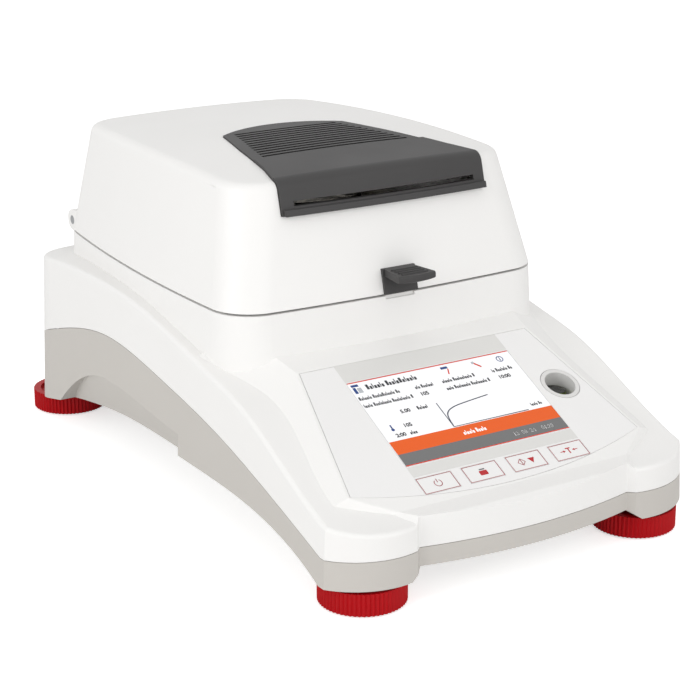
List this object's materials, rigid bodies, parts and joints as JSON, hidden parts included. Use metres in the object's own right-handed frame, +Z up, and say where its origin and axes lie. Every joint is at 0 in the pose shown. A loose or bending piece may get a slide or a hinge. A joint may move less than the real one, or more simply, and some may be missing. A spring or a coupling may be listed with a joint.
{
  "type": "moisture analyzer",
  "caption": "Halogen moisture analyzer: sloping touch display console, square tower with weighing chamber, hinged vented lid with ring lamp, levelling feet.",
  "frame": {"origin": "on the table, under the middle of the whole instrument's box", "axes": "+Z up, +X to the right of a person at the keys, +Y to the rear"},
  "size_m": [0.2086, 0.361, 0.1748],
  "materials": {
    "grey_plastic": "fine moulded texture, satin",
    "white_plastic": "fine moulded texture, satin",
    "overlay_film": "printed film, fine matte",
    "screen": "smooth, lit display behind",
    "dark_metal": "satin",
    "circuit_board": "solder mask, semi-gloss",
    "key_film": "printed film, fine matte",
    "level_bezel": "satin moulding",
    "vial": "clear over tinted liquid",
    "stainless": "fine brushed",
    "aluminium_sheet": "mill finish",
    "ceramic": "unglazed ceramic",
    "aluminium_dish": "drawn foil, bright",
    "cell_aluminium": "milled",
    "cast_aluminium": "as cast",
    "dark_plastic": "moulded, satin",
    "socket_metal": "tin plated",
    "zinc_steel": "zinc plated",
    "clear_glass": "clear",
    "bright_reflector": "polished",
    "lamp_glass": "clear quartz",
    "brass_nut": "turned",
    "pad_rubber": "matte",
    "red_plastic": "semi-gloss moulded"
  },
  "bodies": {
    "housing": {"base_shell": "grey_plastic", "top_housing": "white_plastic", "console_overlay": "overlay_film", "touch_screen": "screen", "display_module": "dark_metal", "main_board": "circuit_board", "level_ring": "level_bezel", "level_vial": "vial", "chamber_tray": "stainless", "heat_shield": "aluminium_sheet", "tray_stands": "ceramic", "load_cell": "cell_aluminium", "load_cell_frame": "cast_aluminium", "supply_board": "circuit_board", "power_inlet": "dark_plastic", "serial_port": "socket_metal", "usb_host_port": "socket_metal", "usb_device_port": "socket_metal", "hinge_pins": "zinc_steel", "foot_nuts": "brass_nut", "housing_screws": "zinc_steel"},
    "lid": {"lid_shell": "white_plastic", "vent_cover": "dark_plastic", "lid_handle": "dark_plastic", "lid_liner": "stainless", "lid_screws": "zinc_steel", "protective_glass": "clear_glass", "glass_ring": "stainless", "reflector": "bright_reflector", "ring_lamp": "lamp_glass", "lamp_sockets": "ceramic", "temperature_probe": "stainless"},
    "weighing_head": {"spindle": "stainless", "pan_support": "stainless"},
    "draft_ring": {"draft_shield": "stainless"},
    "handler": {"pan_handler": "stainless"},
    "pan": {"sample_pan": "aluminium_dish"},
    "key_power_body": {"key_power": "key_film"},
    "key_print_body": {"key_print": "key_film"},
    "key_start_body": {"key_start": "key_film"},
    "key_tare_body": {"key_tare": "key_film"},
    "foot_pad_body_front_left": {"foot_pad_front_left": "pad_rubber"},
    "foot_wheel_body_front_left": {"foot_wheel_front_left": "red_plastic"},
    "foot_pad_body_front_right": {"foot_pad_front_right": "pad_rubber"},
    "foot_wheel_body_front_right": {"foot_wheel_front_right": "red_plastic"},
    "foot_pad_body_rear_left": {"foot_pad_rear_left": "pad_rubber"},
    "foot_wheel_body_rear_left": {"foot_wheel_rear_left": "red_plastic"},
    "foot_pad_body_rear_right": {"foot_pad_rear_right": "pad_rubber"},
    "foot_wheel_body_rear_right": {"foot_wheel_rear_right": "red_plastic"}
  },
  "joints": [
    {"name": "lid_hinge", "type": "hinge", "parent": "housing", "child": "lid", "pos_m": [0, 0.1595, 0.1104], "axis": [-1, 0, 0], "range_deg": [0, 80]},
    {"name": "weighing_travel", "type": "slide", "parent": "housing", "child": "weighing_head", "axis": [0, 0, -1], "range_m": [0, 0.0003], "stiffness_N_per_m": 5000, "springref_m": -0.0002},
    {"name": "draft_shield_lift", "type": "slide", "parent": "housing", "child": "draft_ring", "axis": [0, 0, 1], "range_m": [0, 0.007]},
    {"name": "pan_handler_lift", "type": "slide", "parent": "draft_ring", "child": "handler", "axis": [0, 0, 1], "range_m": [0, 0.008]},
    {"name": "sample_pan_lift", "type": "slide", "parent": "handler", "child": "pan", "axis": [0, 0, 1], "range_m": [0, 0.005]},
    {"name": "key_power_press", "type": "slide", "parent": "housing", "child": "key_power_body", "axis": [0, 0.4462, -0.8949], "range_m": [0, 0.0004], "stiffness_N_per_m": 1000, "springref_m": -0.0002},
    {"name": "key_print_press", "type": "slide", "parent": "housing", "child": "key_print_body", "axis": [0, 0.4462, -0.8949], "range_m": [0, 0.0004], "stiffness_N_per_m": 1000, "springref_m": -0.0002},
    {"name": "key_start_press", "type": "slide", "parent": "housing", "child": "key_start_body", "axis": [0, 0.4462, -0.8949], "range_m": [0, 0.0004], "stiffness_N_per_m": 1000, "springref_m": -0.0002},
    {"name": "key_tare_press", "type": "slide", "parent": "housing", "child": "key_tare_body", "axis": [0, 0.4462, -0.8949], "range_m": [0, 0.0004], "stiffness_N_per_m": 1000, "springref_m": -0.0002},
    {"name": "foot_travel_front_left", "type": "slide", "parent": "housing", "child": "foot_pad_body_front_left", "axis": [0, 0, -1], "range_m": [0, 0.005]},
    {"name": "foot_turn_front_left", "type": "hinge", "parent": "foot_pad_body_front_left", "child": "foot_wheel_body_front_left", "pos_m": [-0.08, -0.1559, 0.006], "axis": [0, 0, -1], "range_deg": [0, 1440]},
    {"name": "foot_travel_front_right", "type": "slide", "parent": "housing", "child": "foot_pad_body_front_right", "axis": [0, 0, -1], "range_m": [0, 0.005]},
    {"name": "foot_turn_front_right", "type": "hinge", "parent": "foot_pad_body_front_right", "child": "foot_wheel_body_front_right", "pos_m": [0.08, -0.1559, 0.006], "axis": [0, 0, -1], "range_deg": [0, 1440]},
    {"name": "foot_travel_rear_left", "type": "slide", "parent": "housing", "child": "foot_pad_body_rear_left", "axis": [0, 0, -1], "range_m": [0, 0.005]},
    {"name": "foot_turn_rear_left", "type": "hinge", "parent": "foot_pad_body_rear_left", "child": "foot_wheel_body_rear_left", "pos_m": [-0.08, 0.16, 0.006], "axis": [0, 0, -1], "range_deg": [0, 1440]},
    {"name": "foot_travel_rear_right", "type": "slide", "parent": "housing", "child": "foot_pad_body_rear_right", "axis": [0, 0, -1], "range_m": [0, 0.005]},
    {"name": "foot_turn_rear_right", "type": "hinge", "parent": "foot_pad_body_rear_right", "child": "foot_wheel_body_rear_right", "pos_m": [0.08, 0.16, 0.006], "axis": [0, 0, -1], "range_deg": [0, 1440]}
  ],
  "couplings": [
    {"joint": "foot_travel_front_left", "follows": "foot_turn_front_left", "m_per_rad": 0.0001989},
    {"joint": "foot_travel_front_right", "follows": "foot_turn_front_right", "m_per_rad": 0.0001989},
    {"joint": "foot_travel_rear_left", "follows": "foot_turn_rear_left", "m_per_rad": 0.0001989},
    {"joint": "foot_travel_rear_right", "follows": "foot_turn_rear_right", "m_per_rad": 0.0001989}
  ]
}
